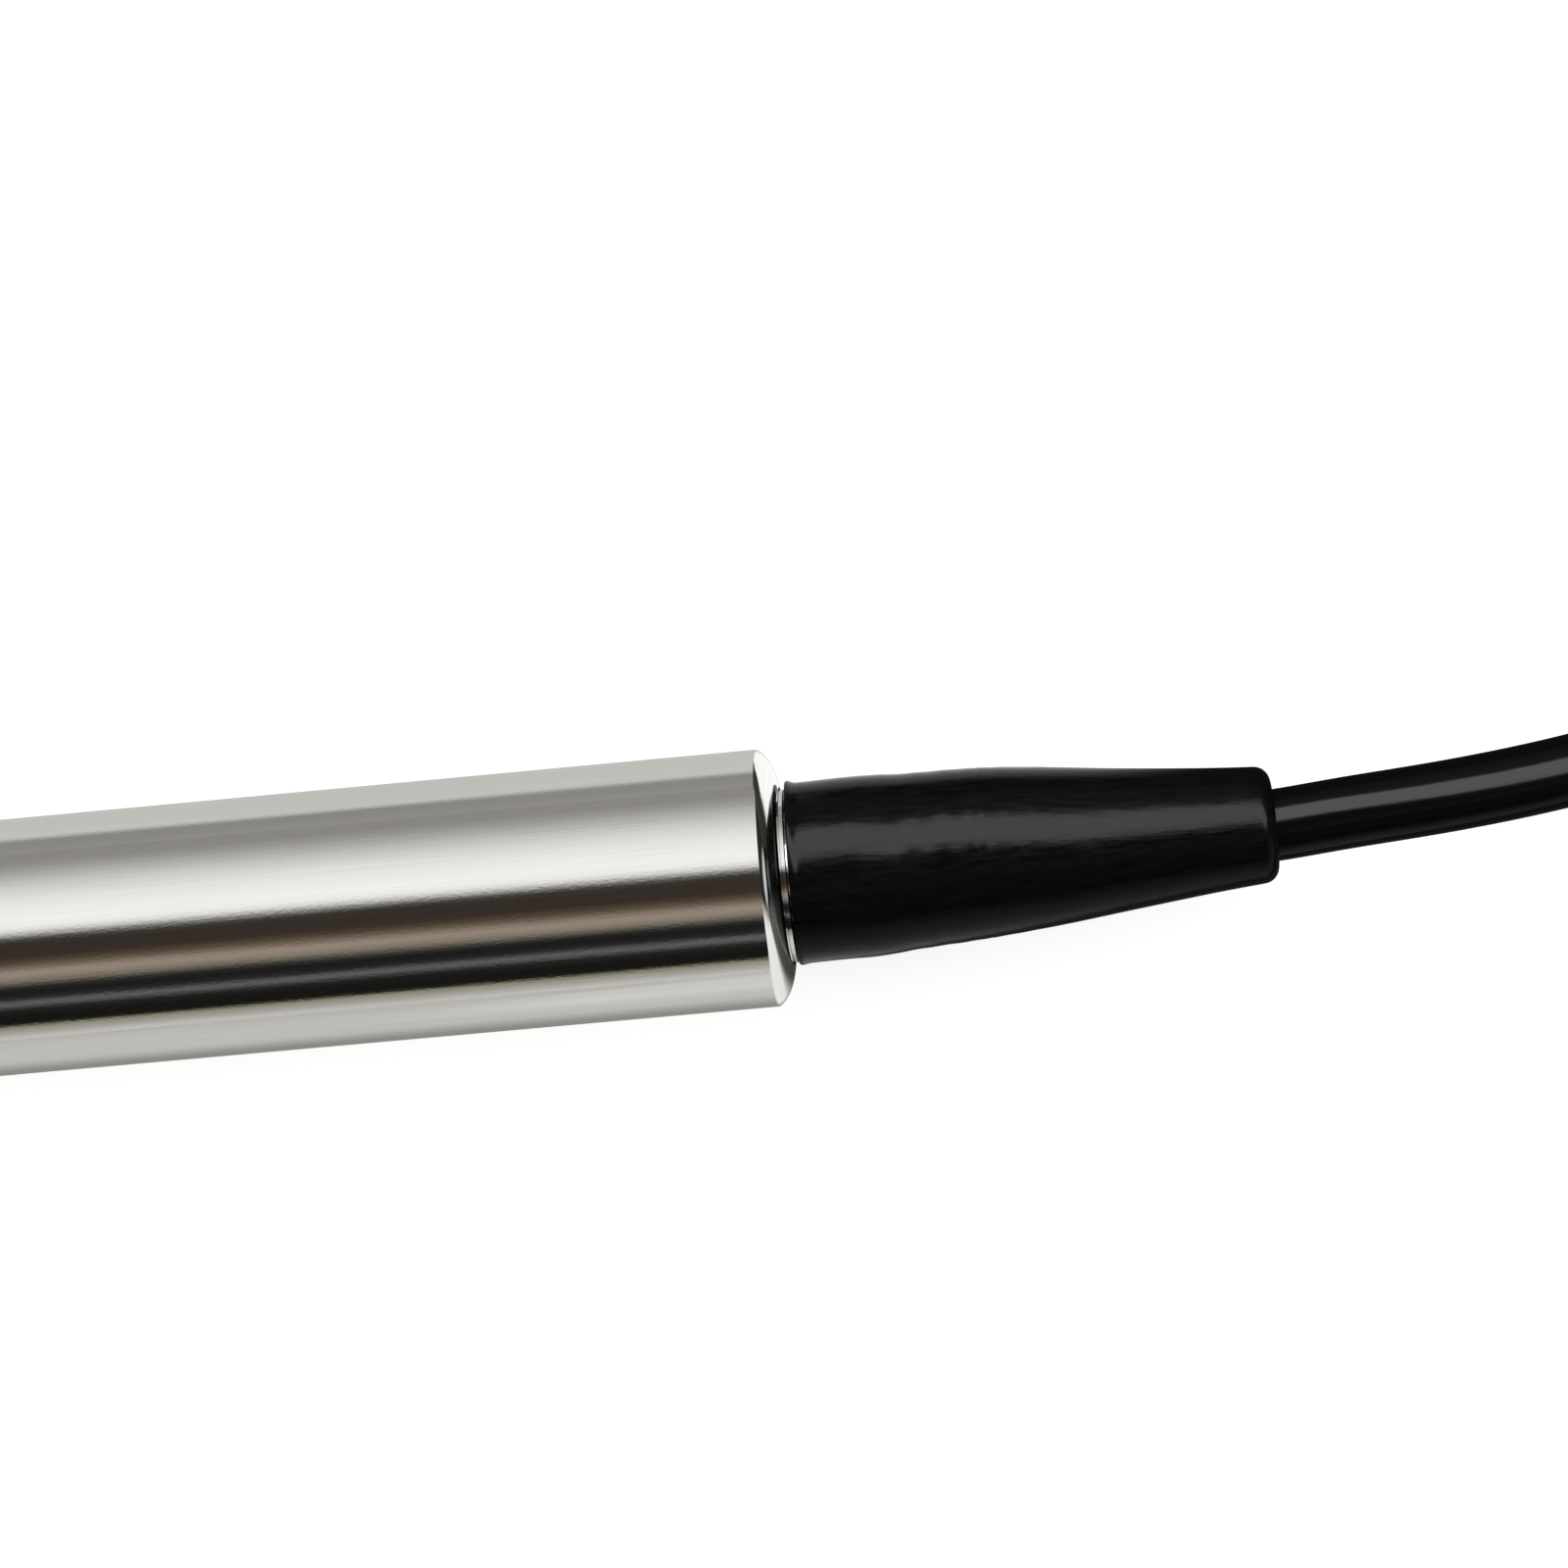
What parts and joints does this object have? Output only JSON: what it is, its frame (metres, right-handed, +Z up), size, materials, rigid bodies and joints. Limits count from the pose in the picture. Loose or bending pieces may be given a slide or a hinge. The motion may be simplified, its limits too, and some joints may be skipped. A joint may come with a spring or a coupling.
{
  "type": "submersible level transmitter",
  "caption": "Slim cylindrical level probe with a ported nose cap, a domed rear end, a tapered cable boot and its own tied length of vented cable.",
  "frame": {"origin": "centre of the rigid body's box on the surface that it lies on; the rigid body runs from the nose to the end of the boot", "axes": "+X along the tube from the nose towards the cable, +Z up, +Y to the left of +X seen from above"},
  "size_m": [0.391, 0.088, 0.028],
  "materials": {
    "polished_steel": "fine turned and polished stainless steel",
    "sensor_steel": "turned stainless steel",
    "gold_plate": "gold-plated pins and wires",
    "tin_plate": "tinned ferrule",
    "seal_rubber": "matt black rubber",
    "boot_rubber": "satin black rubber",
    "cable_sheath": "glossy black polyurethane",
    "natural_plastic": "natural white plastic",
    "board_green": "green solder mask",
    "chip_black": "black moulding",
    "trimmer_blue": "blue moulding",
    "capacitor_yellow": "yellow moulding",
    "core_red": "red insulation",
    "core_black": "black insulation",
    "vent_white": "translucent white vent tube"
  },
  "bodies": {
    "root": {"nose_cap": "polished_steel", "front_socket": "polished_steel", "housing_tube": "polished_steel", "gland_body": "polished_steel", "sensor_body": "sensor_steel", "sensor_retainer": "sensor_steel", "diaphragm": "sensor_steel", "weld_ring": "sensor_steel", "reference_tube": "sensor_steel", "lock_washer": "sensor_steel", "lock_nut": "sensor_steel", "pressure_washer": "sensor_steel", "compression_nut": "sensor_steel", "header_pin_1": "gold_plate", "header_pin_2": "gold_plate", "header_pin_3": "gold_plate", "header_pin_4": "gold_plate", "header_pin_5": "gold_plate", "sensor_lead_1": "gold_plate", "sensor_lead_2": "gold_plate", "sensor_lead_3": "gold_plate", "sensor_lead_4": "gold_plate", "sensor_lead_5": "gold_plate", "sensor_oring": "seal_rubber", "housing_oring": "seal_rubber", "gland_oring": "seal_rubber", "cable_grommet": "seal_rubber", "end_sleeve": "seal_rubber", "strain_relief_boot": "boot_rubber", "cable_in_gland": "cable_sheath", "cable_lead": "cable_sheath", "cable_hank": "cable_sheath", "cable_tail": "cable_sheath", "insulating_sleeve": "natural_plastic", "front_board_disc": "natural_plastic", "rear_board_disc": "natural_plastic", "terminal_block": "natural_plastic", "hank_tie_1": "natural_plastic", "hank_tie_2": "natural_plastic", "vent_filter": "natural_plastic", "circuit_board": "board_green", "amplifier_chip": "chip_black", "loop_transistor": "chip_black", "surge_suppressor": "chip_black", "zero_trimmer": "trimmer_blue", "span_trimmer": "trimmer_blue", "loop_capacitor": "capacitor_yellow", "positive_core": "core_red", "positive_tail": "core_red", "negative_core": "core_black", "negative_tail": "core_black", "vent_tube": "vent_white", "vent_tail": "vent_white", "positive_ferrule": "tin_plate", "negative_ferrule": "tin_plate"}
  },
  "joints": []
}
